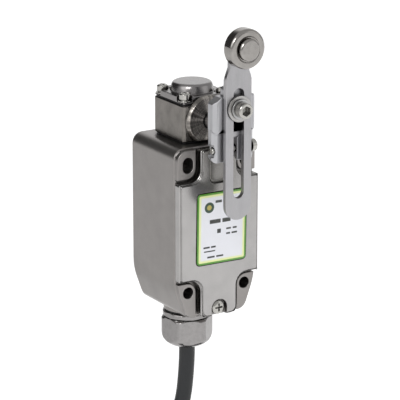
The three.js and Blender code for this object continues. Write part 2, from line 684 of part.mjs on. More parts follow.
/** The holder: a block above that the arm is bolted to, and two clamping legs below, split by a slit. */
function makeHolder() {
  const face = outline([[-11, 46.9, 2], [11, 46.9, 2], [11, 63.4, 2], [-7.2, 63.4, 1], [-11, 60.6, 1]]);
  const block = cut(alongY(face, HOLDER_BACK, HOLDER_FRONT, 0.4),
    ...[-1, 1].map((side) => frontBevel(side, 11, HOLDER_FRONT, 40, 70)));
  const legs = cut(alongY(plate(-LEG_HALF_W, LEG_HALF_W, 33.6, 51, 1.4), HOLDER_BACK, LEG_FRONT, 0.4),
    ...[-1, 1].map((side) => frontBevel(side, LEG_HALF_W, LEG_FRONT, 30, 52)));
  const heel = box([-20, 0, -6], [20, 10, 0]).rotate([27, 0, 0]).translate([0, LEG_FRONT + 0.7, 33.6]);
  const topBevel = box([-20, -4, -4], [20, 4, 4]).rotate([42, 0, 0]).translate([0, HOLDER_FRONT - 3.9, 66.4]);
  const tab = alongY(plate(-4.5, 4.5, 58, 67.4, 1.6), HOLDER_BACK, HOLDER_FRONT, 0.3);
  return cut(join(cut(join(block, legs), topBevel, heel), tab),
    turnedY(rod(SHAFT_R + GAP, HOLDER_FRONT - 1, HOLDER_BACK + 1), 0, SHAFT_Z, 32),
    box([-SLIT_HALF_W, HOLDER_FRONT - 1, 30], [SLIT_HALF_W, HOLDER_BACK + 1, 53.6]),
    turnedY(rod(2.25, HOLDER_FRONT - 1, HOLDER_BACK - 1.4), 0, LOCK_Z, 20),
    turnedX(rod(1.75, -12, 12), CLAMP_Y, CLAMP_Z, 20),
    turnedX(rod(3.2, CLAMP_SEAT - GAP, 13), CLAMP_Y, CLAMP_Z, 28),
    turnedX(rod(3, -13, -CLAMP_SEAT), CLAMP_Y, CLAMP_Z, 28));
}

/** The flat arm with its long slot, a narrow neck and a round end for the roller pin. */
function makeArm() {
  const steps = 14;
  const points = [];
  const tip = Math.asin((ARM_TIP_R - 0.1) / ARM_TIP_R);
  for (let i = 0; i <= steps; i += 1) {
    const angle = Math.PI + (Math.PI * i) / steps;
    const low = ARM_FOOT_Z + ARM_HALF_W;
    points.push([ARM_HALF_W * Math.cos(angle), low + ARM_HALF_W * Math.sin(angle)]);
  }
  points.push([ARM_HALF_W, ARM_SHOULDER_Z], [ARM_HALF_W - 0.5, ARM_SHOULDER_Z + 1.6]);
  points.push([ARM_TIP_R, ARM_NECK_Z]);
  for (let i = 0; i <= steps; i += 1) {
    const angle = Math.PI / 2 - tip + (2 * tip * i) / steps;
    points.push([ARM_TIP_R * Math.cos(angle), ROLLER_Z + ARM_TIP_R * Math.sin(angle)]);
  }
  points.push([-ARM_TIP_R, ARM_NECK_Z]);
  points.push([-ARM_HALF_W + 0.5, ARM_SHOULDER_Z + 1.6], [-ARM_HALF_W, ARM_SHOULDER_Z]);
  const shape = new THREE.Shape(points.map(([x, z]) => new THREE.Vector2(x, z)));
  return cut(alongY(shape, ARM_BACK, ARM_FRONT, 0.3),
    alongY(slot(0, SLOT_BOTTOM_Z + SLOT_HALF_W, SLOT_TOP_Z - SLOT_HALF_W, SLOT_HALF_W, 10), -50, -64),
    turnedY(rod(PIN_R + GAP, -64, -50), 0, ROLLER_Z, 24));
}

const WASHER_FRONT = ARM_FRONT - THIN_GAP - 0.8;
const SPRING_WASHER_FRONT = WASHER_FRONT - THIN_GAP - 0.8;
const BOLT_SEAT = SPRING_WASHER_FRONT - THIN_GAP;
const BOLT_FRONT = BOLT_SEAT - 4;

/** A socket-head bolt along Y with a six-sided recess in its head. */
function makeLockBolt() {
  const body = turnedY([[0, HOLDER_BACK - 2], [1.95, HOLDER_BACK - 2], [1.95, BOLT_SEAT], [3.55, BOLT_SEAT],
    [3.55, BOLT_FRONT + 0.4], [3.15, BOLT_FRONT], [0, BOLT_FRONT]], 0, LOCK_Z, 32);
  const socket = turnedY(rod(2.35, BOLT_FRONT - 1, BOLT_FRONT + 2.4), 0, LOCK_Z, 6);
  return cut(body, socket);
}

/** The clamping screw across the legs, its head on the right. */
function makeClampScrew() {
  const end = CLAMP_SEAT + 2.5;
  const body = turnedX([[0, -10.6], [1.2, -10.6], [1.5, -10.3], [1.5, CLAMP_SEAT], [2.9, CLAMP_SEAT],
    [2.9, end - 0.5], [2.4, end], [0, end]], CLAMP_Y, CLAMP_Z, 24);
  return cut(body, turnedX(rod(1.3, end - 1.3, end + 1), CLAMP_Y, CLAMP_Z, 6));
}

add('lever_holder', makeHolder(), looks.machined());
add('clamp_screw', makeClampScrew(), looks.screw());
add('lever_arm', makeArm(), looks.machined());
add('flat_washer', turnedY(ring(2.25, 6, WASHER_FRONT, ARM_FRONT - THIN_GAP, 0.15), 0, LOCK_Z, 32),
  looks.screw());
add('spring_washer', cut(
  turnedY(ring(2.25, 4.5, SPRING_WASHER_FRONT, WASHER_FRONT - THIN_GAP), 0, LOCK_Z, 28),
  box([1.5, -70, LOCK_Z - 0.3], [5, -50, LOCK_Z + 0.3])), looks.spring());
add('lock_bolt', makeLockBolt(), looks.screw());

const SPACER_FRONT = ARM_FRONT - THIN_GAP - 0.7;
const ROLLER_BACK = SPACER_FRONT - THIN_GAP;
const ROLLER_FRONT = ROLLER_BACK - ROLLER_WIDTH;

add('roller_spacer', turnedY(ring(PIN_R + GAP, 4.4, SPACER_FRONT, ARM_FRONT - THIN_GAP), 0, ROLLER_Z, 28),
  looks.screw());
add('roller', turnedY([[PIN_R + 0.2, ROLLER_FRONT + 0.4], [5.7, ROLLER_FRONT + 0.4], [6, ROLLER_FRONT],
  [ROLLER_R - 1.5, ROLLER_FRONT], [ROLLER_R - 0.7, ROLLER_FRONT + 0.3], [ROLLER_R - 0.2, ROLLER_FRONT + 0.9],
  [ROLLER_R, ROLLER_FRONT + 1.7], [ROLLER_R, ROLLER_BACK - 0.5], [ROLLER_R - 0.5, ROLLER_BACK],
  [PIN_R + 0.2, ROLLER_BACK], [PIN_R + 0.2, ROLLER_FRONT + 0.4]], 0, ROLLER_Z, 52), looks.polished());
add('roller_pin', turnedY([[0, ARM_BACK + 1.3], [3.1, ARM_BACK + 1.3], [3.8, ARM_BACK + THIN_GAP],
  [PIN_R, ARM_BACK + THIN_GAP], [PIN_R, ROLLER_FRONT - THIN_GAP], [PIN_HEAD_R, ROLLER_FRONT - THIN_GAP],
  [PIN_HEAD_R, ROLLER_FRONT - 1.1], [PIN_HEAD_R - 0.7, ROLLER_FRONT - 1.8], [0, ROLLER_FRONT - 1.9]], 0, ROLLER_Z, 36),
looks.polished());

// ---------------------------------------------------------------- cable gland and cable

add('gland_washer', turnedZ(ring(8.4, 10.6, -47.2, CONDUIT_BOSS_Z - THIN_GAP), 0, GLAND_Y, 28), looks.rubber());

function makeGlandBody() {
  const collar = hexagonZ(HEX_FLAT_R, 0, GLAND_Y, COLLAR_BOTTOM, -47.4, HEX_TURN, 0.2)
    .intersect(turnedZ(rod(COLLAR_CORNER_R, COLLAR_BOTTOM, -47.4, 0.5), 0, GLAND_Y, 48));
  const thread = turnedZ(rod(8, -49, -38), 0, GLAND_Y, 28);
  const spigot = turnedZ(rod(8.4, -54, -49), 0, GLAND_Y, 28);
  return cut(join(collar, thread, spigot), turnedZ(rod(6, -60, -30), 0, GLAND_Y, 24));
}

function makeDomeNut() {
  const prism = hexagonZ(HEX_FLAT_R, 0, GLAND_Y, NUT_BOTTOM, NUT_TOP, HEX_TURN, 0);
  const rounded = turnedZ([[0, NUT_TOP], [HEX_FLAT_R, NUT_TOP], [HEX_CORNER_R, NUT_TOP - 0.9],
    [HEX_CORNER_R, -58.4], [11.9, -59.8], [11.4, -61.2], [10.5, -62.5], [9.3, -63.5], [7.8, -64.3],
    [6.2, NUT_BOTTOM], [0, NUT_BOTTOM]], 0, GLAND_Y, 44);
  const bore = turnedZ([[0, -49], [8.8, -49], [8.8, -54.6], [6.6, -56], [6.6, -61.6], [4.3, -62.8], [4.3, -66],
    [0, -66]], 0, GLAND_Y, 32);
  return cut(prism.intersect(rounded), bore);
}

add('gland_body', makeGlandBody(), looks.machined());
add('dome_nut', makeDomeNut(), looks.machined());
add('gland_insert', turnedZ(ring(CABLE_R + THIN_GAP, 6.3, -61.2, -54.4), 0, GLAND_Y, 20), looks.rubber());
add('cable_entry', turnedZ(rod(CABLE_R, NUT_BOTTOM + 0.2, -33), 0, GLAND_Y, 12), looks.cable());

// Four wires run from the end of the sheath to the terminals, two on each side.
const lowerWire = [[1.4, -12.6, -32.6], [2, -12.8, -27], [4.4, -15, -22.4], [9, -18.5, -19], [13, -22, -17.4],
  [14.4, -25, -10], [14.4, -29, -3], [14.2, -30.8, 1.4]];
const upperWire = [[1.4, -15.8, -32.6], [2, -18.5, -27], [4.4, -23, -22.4], [9, -27.5, -19], [13, -31.5, -16.6],
  [14, -34.3, -10], [13.8, -35, -2], [13.8, -35, 6], [13.6, -33.2, 10.6]];
for (const [name, route] of [['lower', lowerWire], ['upper', upperWire]]) {
  for (const [side, hand] of [[-1, 'left'], [1, 'right']]) {
    const points = route.map(([x, y, z]) => [side * x, y, z]);
    add(`wire_${name}_${hand}`, tube(points, 0.8, 12, 6), looks.wire());
  }
}

// The cable hangs straight out of the gland, then leans over to the left side of its coil.
const leadRoute = [
  [0, GLAND_Y, NUT_BOTTOM - GAP],
  [0, GLAND_Y, -70],
  [-0.3, GLAND_Y, -76],
  [-0.8, GLAND_Y, -82],
  [-1.7, GLAND_Y, -89],
  [-3.2, GLAND_Y, -95],
  [-3.9, GLAND_Y, -97.4],
];
add('cable_lead', tube(leadRoute, CABLE_R, 8, 12), looks.cable());

/** The outer shape of the tied turns: a ring about a Y axis. */
function makeCoil() {
  const sides = 10;
  const profile = [];
  for (let i = 0; i <= sides; i += 1) {
    const angle = (2 * Math.PI * i) / sides;
    profile.push([COIL_R + COIL_BUNDLE_R * Math.cos(angle), GLAND_Y + COIL_BUNDLE_R * Math.sin(angle)]);
  }
  profile[sides] = profile[0];
  return turnedY(profile, COIL_X, COIL_Z, 40);
}

/** A cable tie round the bundle, with its lock on the outside, at an angle round the coil. */
function makeTie(degrees) {
  const band = turnedZ(ring(COIL_BUNDLE_R + GAP, COIL_BUNDLE_R + 1.5, -2.4, 2.4), COIL_R, 0, 20);
  const lock = box([COIL_R + COIL_BUNDLE_R + 0.8, -3, -3.2], [COIL_R + COIL_BUNDLE_R + 4.6, 3, 3.2]);
  return join(band, lock).rotate([0, -degrees, 0]).translate([COIL_X, GLAND_Y, COIL_Z]);
}

add('cable_coil', makeCoil(), looks.cable());
add('cable_tie_lower', makeTie(-100), looks.tie());
add('cable_tie_side', makeTie(0), looks.tie());
const tailX = COIL_X - COIL_R;
const tailY = GLAND_Y - 5.6;
const tailTip = COIL_Z - TAIL_LENGTH;
add('cable_end', turnedZ([[0, tailTip], [1.8, tailTip], [3.4, tailTip + 10], [3.4, tailTip + TAIL_CLEAR],
  [0, tailTip + TAIL_CLEAR]], tailX, tailY, 12), looks.wire());

export default group;
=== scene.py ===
"""Looks for a roller-lever limit switch: its finishes, its cable and the studio round it."""

import json
import math

import bmesh
import bpy
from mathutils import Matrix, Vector

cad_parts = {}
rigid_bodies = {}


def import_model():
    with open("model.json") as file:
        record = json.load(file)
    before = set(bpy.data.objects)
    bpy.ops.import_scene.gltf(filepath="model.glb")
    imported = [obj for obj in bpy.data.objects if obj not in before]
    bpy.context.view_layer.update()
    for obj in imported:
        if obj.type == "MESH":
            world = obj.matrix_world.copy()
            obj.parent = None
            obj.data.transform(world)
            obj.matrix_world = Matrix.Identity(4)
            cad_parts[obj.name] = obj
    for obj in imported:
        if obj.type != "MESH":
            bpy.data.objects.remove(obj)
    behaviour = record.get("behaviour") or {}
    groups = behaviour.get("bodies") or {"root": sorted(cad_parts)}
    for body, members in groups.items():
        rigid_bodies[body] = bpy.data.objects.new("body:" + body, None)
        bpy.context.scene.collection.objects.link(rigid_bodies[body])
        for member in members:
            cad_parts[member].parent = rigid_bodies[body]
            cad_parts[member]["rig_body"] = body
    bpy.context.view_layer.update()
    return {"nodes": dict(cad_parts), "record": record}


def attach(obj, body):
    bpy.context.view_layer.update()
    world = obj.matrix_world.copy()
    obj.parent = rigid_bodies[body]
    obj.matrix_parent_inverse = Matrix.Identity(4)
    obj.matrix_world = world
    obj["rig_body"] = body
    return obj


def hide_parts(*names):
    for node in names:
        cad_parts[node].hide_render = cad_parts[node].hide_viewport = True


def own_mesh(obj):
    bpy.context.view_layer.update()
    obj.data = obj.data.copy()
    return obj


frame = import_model()

MM = 0.001
SLOT_OF = {part["node"]: part["material_slot"] for part in frame["record"]["subparts"]}


def mm(x, y, z):
    """A point given in millimetres, as metres."""
    return Vector((x, y, z)) * MM


# ---------------------------------------------------------------- camera

AZIMUTH = math.radians(-31.468)
ELEVATION = math.radians(16.288)
DISTANCE = 1.040
LENS = 203.64  # millimetres, on a 36 mm sensor
LOOK_AT = mm(0, -19, 10)
AIM_RIGHT = 3.64 * MM  # how far the middle of the picture is from LOOK_AT
AIM_UP = -3.38 * MM


def make_camera():
    right = Vector((math.cos(AZIMUTH), math.sin(AZIMUTH), 0))
    back = Vector((math.sin(AZIMUTH) * math.cos(ELEVATION), -math.cos(AZIMUTH) * math.cos(ELEVATION),
                   math.sin(ELEVATION)))
    up = right.cross(-back)
    data = bpy.data.cameras.new("studio_camera")
    data.sensor_width = 36
    data.lens = LENS
    data.clip_start = 0.05
    data.clip_end = 50
    camera = bpy.data.objects.new("studio_camera", data)
    bpy.context.scene.collection.objects.link(camera)
    camera.location = LOOK_AT + back * DISTANCE
    aim = LOOK_AT + right * AIM_RIGHT + up * AIM_UP
    camera.rotation_mode = "QUATERNION"
    camera.rotation_quaternion = (aim - camera.location).to_track_quat("-Z", "Y")
    bpy.context.scene.camera = camera


make_camera()

# ---------------------------------------------------------------- finishes


class Nodes:
    """Builds shader nodes in one tree."""

    def __init__(self, tree):
        self.nodes = tree.nodes
        self.links = tree.links

    def feed(self, socket, value):
        """Links an output into a socket, or sets the socket's own value."""
        if isinstance(value, bpy.types.NodeSocket):
            self.links.new(value, socket)
        else:
            socket.default_value = value

    def math(self, operation, *values):
        node = self.nodes.new("ShaderNodeMath")
        node.operation = operation
        for socket, value in zip(node.inputs, values):
            self.feed(socket, value)
        return node.outputs[0]

    def vector_math(self, operation, *values, output="Vector"):
        node = self.nodes.new("ShaderNodeVectorMath")
        node.operation = operation
        for socket, value in zip(node.inputs, values):
            self.feed(socket, value)
        return node.outputs[output]

    def spread(self, value, low_in, high_in, low, high, smooth=False):
        """Maps a range of values onto another, held at both ends."""
        node = self.nodes.new("ShaderNodeMapRange")
        if smooth:
            node.interpolation_type = "SMOOTHSTEP"
        for socket, number in zip(node.inputs, (value, low_in, high_in, low, high)):
            self.feed(socket, number)
        return node.outputs[0]

    def mix(self, share, first, second):
        """Mixes two colours; share is how much of the second one there is."""
        node = self.nodes.new("ShaderNodeMix")
        node.data_type = "RGBA"
        self.feed(node.inputs["Factor"], share)
        colours = [socket for socket in node.inputs if socket.type == "RGBA"]
        self.feed(colours[0], first)
        self.feed(colours[1], second)
        return next(socket for socket in node.outputs if socket.type == "RGBA")

    def axes(self, vector):
        node = self.nodes.new("ShaderNodeSeparateXYZ")
        self.feed(node.inputs[0], vector)
        return node.outputs[0], node.outputs[1], node.outputs[2]


NOISE_ROUGHNESS = 0.55
LATHE_SLOPE = 1.37  # how much faster a turned finish changes along its axis than outwards


class Look(Nodes):
    """One procedural finish, on coordinates in millimetres of the object."""

    def __init__(self, name, **values):
        self.material = bpy.data.materials.new(name)
        self.material.use_nodes = True
        super().__init__(self.material.node_tree)
        self.shader = self.nodes["Principled BSDF"]
        for socket, value in values.items():
            self.shader.inputs[socket.replace("_", " ")].default_value = value
        place = self.nodes.new("ShaderNodeTexCoord").outputs["Object"]
        self.place = self.vector_math("MULTIPLY", place, (1 / MM, 1 / MM, 1 / MM))

    def set(self, socket, value):
        self.feed(self.shader.inputs[socket], value)

    def noise(self, size, detail=3.0, stretch=(1, 1, 1), offset=0.0):
        """Cloudy noise with features of about size millimetres, longer along an axis with a small stretch."""
        vector = self.vector_math("MULTIPLY_ADD", self.place, stretch, (offset, offset, offset))
        node = self.nodes.new("ShaderNodeTexNoise")
        self.feed(node.inputs["Vector"], vector)
        node.inputs["Scale"].default_value = 1 / size
        node.inputs["Detail"].default_value = detail
        node.inputs["Roughness"].default_value = NOISE_ROUGHNESS
        return node.outputs[0]

    def rings(self, axis, centre, pitch):
        """Noise that only changes outwards from an axis and along it, as a lathe tool leaves it."""
        keep = [0.0 if i == axis else 1.0 for i in range(3)]
        along = [1.0 if i == axis else 0.0 for i in range(3)]
        out = self.vector_math("SUBTRACT", self.place, centre)
        radius = self.vector_math("LENGTH", self.vector_math("MULTIPLY", out, keep), output="Value")
        height = self.vector_math("DOT_PRODUCT", out, along, output="Value")
        node = self.nodes.new("ShaderNodeTexNoise")
        node.noise_dimensions = "1D"
        self.feed(node.inputs["W"], self.math("ADD", radius, self.math("MULTIPLY", height, LATHE_SLOPE)))
        node.inputs["Scale"].default_value = 1 / pitch
        node.inputs["Detail"].default_value = 2.0
        return node.outputs[0]

    def grain(self, height, strength, depth):
        """Adds fine relief, depth in millimetres."""
        node = self.nodes.new("ShaderNodeBump")
        node.inputs["Strength"].default_value = strength
        node.inputs["Distance"].default_value = depth * MM
        self.feed(node.inputs["Height"], height)
        self.set("Normal", node.outputs[0])

    def tones(self, value, *stops):
        """A colour ramp of (position, colour) stops."""
        ramp = self.nodes.new("ShaderNodeValToRGB")
        elements = ramp.color_ramp.elements
        while len(elements) < len(stops):
            elements.new(0.5)
        for element, (position, colour) in zip(elements, stops):
            element.position = position
            element.color = (*colour, 1)
        self.feed(ramp.inputs[0], value)
        return ramp.outputs[0]

    def crevice_shade(self, colour, reach, shaded_colour):
        """Paints shade: darkens a colour towards a darker copy of it where the surface lies within reach
        millimetres of another one, in crevices and between parts.
        """
        node = self.nodes.new("ShaderNodeAmbientOcclusion")
        node.samples = 4
        node.inputs["Distance"].default_value = reach * MM
        open_share = self.spread(node.outputs["AO"], 0.25, 0.85, 0.0, 1.0)
        return self.mix(open_share, (*shaded_colour, 1), colour)

    def paint_shade_near_parts(self, colour, reach, dark, share):
        """Paints shade: tints a colour towards dark where something stands within reach millimetres of the
        surface.
        """
        node = self.nodes.new("ShaderNodeAmbientOcclusion")
        node.samples = 8
        node.inputs["Distance"].default_value = reach * MM
        hidden = self.spread(node.outputs["AO"], 0.35, 0.95, share, 0.0)
        return self.mix(hidden, colour, (*dark, 1))


def shade(colour, factor):
    return tuple(channel * factor for channel in colour)


# Painted shade, darker and browner, on surfaces that other parts stand near.
SHELTER_REACH = 22  # millimetres
NEAR_PART_SHADE_TINT = (0.05, 0.046, 0.032)


def cast_metal(name, colour, roughness, seed, near_shade_share=0.0):
    """Fine-blasted cast metal: cloudy tone, tiny pits and a satin sheen; painted shade in its crevices and,
    if wanted, painted shade, darker and browner, where other parts stand near it.
    """
    look = Look(name, Metallic=1.0)
    cloud = look.noise(9, 2, offset=seed)
    speck = look.noise(0.45, 3, offset=seed + 5)
    pits = look.noise(0.16, 2, offset=seed + 9)
    tone = look.math("ADD", look.math("MULTIPLY", cloud, 0.65), look.math("MULTIPLY", speck, 0.35))
    colours = look.tones(tone, (0.3, shade(colour, 0.9)), (0.5, colour), (0.72, shade(colour, 1.08)))
    # painted shade where other parts stand near, such as the lever holder in front of the cover
    if near_shade_share:
        colours = look.paint_shade_near_parts(colours, SHELTER_REACH, NEAR_PART_SHADE_TINT, near_shade_share)
    # painted shade: darker within 1.6 mm of another surface, in crevices and between parts
    look.set("Base Color", look.crevice_shade(colours, 1.6, shade(colour, 0.42)))
    look.set("Roughness", look.spread(speck, 0.3, 0.7, roughness - 0.05, roughness + 0.07))
    look.grain(look.math("ADD", speck, pits), 0.3, 0.03)
    return look.material


def brushed_metal(name, colour, roughness, stretch, seed, reach=1.2):
    """Metal with straight, fine rubbing marks along the small number in stretch, and painted shade in its
    crevices.
    """
    look = Look(name, Metallic=1.0)
    marks = look.noise(0.22, 4, stretch, seed)
    cloud = look.noise(7, 2, offset=seed + 3)
    smear = look.noise(1.6, 2, stretch, seed + 7)
    tone = look.math("ADD", look.math("MULTIPLY", cloud, 0.6), look.math("MULTIPLY", smear, 0.4))
    colours = look.tones(tone, (0.3, shade(colour, 0.92)), (0.52, colour), (0.75, shade(colour, 1.05)))
    # painted shade: much darker in crevices and between parts
    look.set("Base Color", look.crevice_shade(colours, reach, shade(colour, 0.2)))
    look.set("Roughness", look.spread(marks, 0.3, 0.7, roughness - 0.05, roughness + 0.06))
    look.grain(marks, 0.22, 0.012)
    return look.material


def turned_metal(name, colour, roughness, axis, centre, pitch, seed, depth=0.012):
    """Metal with the fine rings that a lathe leaves."""
    look = Look(name, Metallic=1.0)
    marks = look.rings(axis, centre, pitch)
    cloud = look.noise(2.2, 3, offset=seed)
    colours = look.tones(cloud, (0.3, shade(colour, 0.9)), (0.55, colour), (0.75, shade(colour, 1.06)))
    # painted shade: much darker in crevices and between parts
    look.set("Base Color", look.crevice_shade(colours, 0.9, shade(colour, 0.2)))
    look.set("Roughness", look.spread(marks, 0.35, 0.65, roughness - 0.04, roughness + 0.05))
    look.grain(marks, 0.3, depth)
    return look.material


STREAKS_SCALE = 2.6  # radial painted highlight streaks per radian, roughly


def head_metal(name, colour, roughness, seed):
    """The ground head: upright marks on its sides, radial streaks of painted highlight on its turned front,
    and painted shade near other parts and in crevices.
    """
    look = Look(name, Metallic=1.0)
    marks = look.noise(0.22, 4, (1, 1, 0.05), seed)
    cloud = look.noise(6, 3, offset=seed + 3)
    sides = look.tones(cloud, (0.3, shade(colour, 0.8)), (0.5, colour), (0.72, shade(colour, 1.12)))
    out = look.vector_math("SUBTRACT", look.place, SHAFT_AXIS)
    across, depth, up = look.axes(out)
    angle = look.math("ARCTAN2", up, across)
    streaks = look.nodes.new("ShaderNodeTexNoise")
    streaks.noise_dimensions = "1D"
    look.feed(streaks.inputs["W"], angle)
    streaks.inputs["Scale"].default_value = STREAKS_SCALE
    streaks.inputs["Detail"].default_value = 6
    # painted highlight: radial glints in the turned front's colour, up to nearly three times its tone
    painted_glint = look.tones(streaks.outputs[0], (0.42, shade(colour, 0.75)), (0.53, shade(colour, 1.4)),
                       (0.64, shade(colour, 2.9)))
    on_front = look.math("LESS_THAN", depth, TURNED_FRONT)
    colours = look.mix(on_front, sides, painted_glint)
    # painted shade where other parts stand within 7 mm, such as the lever holder in front of the head
    colours = look.paint_shade_near_parts(colours, 7, shade(colour, 0.3), 0.55)
    # painted shade: much darker in crevices and between parts
    look.set("Base Color", look.crevice_shade(colours, 1.2, shade(colour, 0.2)))
    ring_marks = look.rings(1, SHAFT_AXIS, 0.45)
    surface = look.math("ADD", look.math("MULTIPLY", marks, look.math("SUBTRACT", 1.0, on_front)),
                        look.math("MULTIPLY", ring_marks, on_front))
    look.set("Roughness", look.spread(surface, 0.3, 0.7, roughness - 0.05, roughness + 0.06))
    look.grain(surface, 0.25, 0.014)
    return look.material


CLOUD_TO_SKIN = 22  # size of a moulding's tonal clouds against that of its surface texture


def moulded(name, colour, roughness, size, depth, seed):
    """Plastic or rubber with a fine matt texture and a little dust in its tone."""
    look = Look(name, Metallic=0.0)
    skin = look.noise(size, 3, offset=seed)
    cloud = look.noise(size * CLOUD_TO_SKIN, 2, offset=seed + 4)
    colours = look.tones(cloud, (0.3, shade(colour, 0.8)), (0.5, colour), (0.75, shade(colour, 1.25)))
    # painted shade: darker in crevices and between parts
    look.set("Base Color", look.crevice_shade(colours, 1.0, shade(colour, 0.3)))
    look.set("Roughness", look.spread(skin, 0.3, 0.7, roughness - 0.08, roughness + 0.08))
    look.grain(skin, 0.35, depth)
    return look.material


LABEL_CENTRE = (0.95, 0.0, -0.3)
LABEL_TURN = math.radians(0.9)
LABEL_HALF = (13.0, 16.65)
LABEL_CORNER = 1.6
PRINT_BLUR = 0.06  # half the width over which print fades out
STROKE_CORNER = 0.25
LIME_FADE = (-2.3, -1.35)  # how far inside the label's outline the lime band fades in
GREEN_FADE = (-0.95, -0.75)
INK = (0.012, 0.016, 0.014, 1)
FIELD = (0.73, 0.74, 0.785, 1)
GREEN = (0.075, 0.265, 0.018, 1)
LIME = (0.74, 0.80, 0.36, 1)
# Plain printed strokes: across, up, half width, half height, in millimetres from the label's middle.
STROKES = [(-1.9, 12.4, 1.7, 0.6), (2.2, 12.4, 1.5, 0.6), (-3.6, 3.2, 2.9, 0.95), (2.4, 3.2, 2.2, 0.95),
           (-1.5, -1.6, 1.0, 1.0), (3.6, -1.0, 1.3, 0.42), (6.9, -1.0, 1.1, 0.42), (3.4, -3.3, 1.1, 0.42),
           (6.7, -3.3, 1.5, 0.42), (-8.0, -8.7, 1.7, 0.42), (-4.4, -8.7, 1.3, 0.42), (-6.4, -10.6, 3.0, 0.3),
           (-5.6, -13.4, 2.0, 0.42), (-0.9, -13.4, 1.9, 0.42)]
ROUNDEL = (-6.8, 10.0, 2.5)  # across, up and radius
ROUNDEL_CORE = 1.2
ROUNDEL_GREEN = (0.01, 0.045, 0.02, 1)
ROUNDEL_GOLD = (0.42, 0.36, 0.07, 1)
DUST = (0.55, 0.54, 0.5, 1)


def printed_label():
    """White film with a green edge, a lime band inside it and plain printed strokes."""
    look = Look("label_print", Metallic=0.0, Specular_IOR_Level=0.5, Coat_Weight=0.25, Coat_Roughness=0.12)
    turn = look.nodes.new("ShaderNodeVectorRotate")
    turn.rotation_type = "Y_AXIS"
    look.feed(turn.inputs["Vector"], look.vector_math("SUBTRACT", look.place, LABEL_CENTRE))
    turn.inputs["Angle"].default_value = -LABEL_TURN
    across, _, up = look.axes(turn.outputs[0])

    def edge_distance(u, v, half_u, half_v, corner):
        du = look.math("SUBTRACT", look.math("ABSOLUTE", u), half_u - corner)
        dv = look.math("SUBTRACT", look.math("ABSOLUTE", v), half_v - corner)
        far_u = look.math("POWER", look.math("MAXIMUM", du, 0.0), 2.0)
        far_v = look.math("POWER", look.math("MAXIMUM", dv, 0.0), 2.0)
        outside = look.math("SQRT", look.math("ADD", far_u, far_v))
        inside = look.math("MINIMUM", look.math("MAXIMUM", du, dv), 0.0)
        return look.math("SUBTRACT", look.math("ADD", outside, inside), corner)

    def shifted(value, amount):
        return look.math("SUBTRACT", value, amount)

    ink = 0.0
    for u, v, half_u, half_v in STROKES:
        distance = edge_distance(shifted(across, u), shifted(up, v), half_u, half_v, STROKE_CORNER)
        ink = look.math("MAXIMUM", ink, look.spread(distance, -PRINT_BLUR, PRINT_BLUR, 1.0, 0.0))
    off = look.math("POWER", shifted(across, ROUNDEL[0]), 2.0)
    off = look.math("SQRT", look.math("ADD", off, look.math("POWER", shifted(up, ROUNDEL[1]), 2.0)))
    disc = look.spread(off, ROUNDEL[2] - PRINT_BLUR, ROUNDEL[2] + PRINT_BLUR, 1.0, 0.0)
    core = look.spread(off, ROUNDEL_CORE - PRINT_BLUR, ROUNDEL_CORE + PRINT_BLUR, 1.0, 0.0)

    border = edge_distance(across, up, LABEL_HALF[0], LABEL_HALF[1], LABEL_CORNER)
    colour = look.mix(look.spread(border, *LIME_FADE, 0.0, 1.0, smooth=True), FIELD, LIME)
    colour = look.mix(look.spread(border, *GREEN_FADE, 0.0, 1.0), colour, GREEN)
    colour = look.mix(disc, colour, ROUNDEL_GREEN)
    colour = look.mix(core, colour, ROUNDEL_GOLD)
    colour = look.mix(ink, colour, INK)
    dust = look.noise(4.5, 3, offset=2.0)
    look.set("Base Color", look.mix(look.spread(dust, 0.35, 0.8, 0.0, 0.10), colour, DUST))
    film = look.noise(1.4, 2, offset=8.0)
    look.set("Roughness", look.spread(film, 0.3, 0.7, 0.28, 0.4))
    look.grain(film, 0.12, 0.02)
    return look.material


BOLT_AXIS = (0, 0, 58.3)
ROLLER_AXIS = (0, 0, 86.2)
GLAND_Y = -14.2
GLAND_AXIS = (0, GLAND_Y, 0)
SHAFT_AXIS = (0, 0, 47.6)
TURNED_FRONT = -33.4  # the head is turned where it lies in front of this

LOOKS = {
    "cast_steel": cast_metal("cast_body", (0.29, 0.275, 0.266), 0.34, 1),
    # The cover's colour is lighter than the body's, partly as painted light, and it gets painted shade where
    # the lever holder stands near it.
    "cover_steel": cast_metal("cast_cover", (0.40, 0.39, 0.385), 0.2, 21, 0.9),
    "head_steel": head_metal("ground_head", (0.20, 0.187, 0.173), 0.24, 3),
    "lever_steel": brushed_metal("satin_lever", (0.39, 0.385, 0.395), 0.3, (1, 1, 0.035), 8),
    "bright_steel": brushed_metal("bright_screws", (0.46, 0.45, 0.425), 0.13, (1, 1, 0.4), 13, 3.2),
    "spring_steel": brushed_metal("spring_wire", (0.5, 0.5, 0.5), 0.3, (1, 1, 0.5), 17),
    "brass": brushed_metal("plain_brass", (0.66, 0.47, 0.18), 0.3, (0.2, 1, 1), 23),
    "bronze": cast_metal("sintered_bronze", (0.45, 0.3, 0.14), 0.5, 29),
    "black_rubber": moulded("black_rubber", (0.018, 0.018, 0.019), 0.6, 0.3, 0.04, 31),
    "cable_sheath": moulded("cable_sheath", (0.0035, 0.0045, 0.006), 0.42, 0.35, 0.02, 37),
    "wire_insulation": moulded("wire_insulation", (0.1, 0.14, 0.2), 0.45, 0.4, 0.01, 41),
    "black_moulding": moulded("black_moulding", (0.025, 0.028, 0.03), 0.5, 0.35, 0.03, 43),
    "label_face": printed_label(),
    "tie_plastic": moulded("tie_nylon", (0.012, 0.012, 0.014), 0.38, 0.5, 0.02, 47),
}
ROLLER_LOOK = turned_metal("turned_roller", (0.33, 0.315, 0.30), 0.13, 1, ROLLER_AXIS, 0.3, 51, 0.006)
GLAND_LOOK = turned_metal("satin_gland", (0.29, 0.28, 0.277), 0.18, 2, GLAND_AXIS, 0.35, 55)
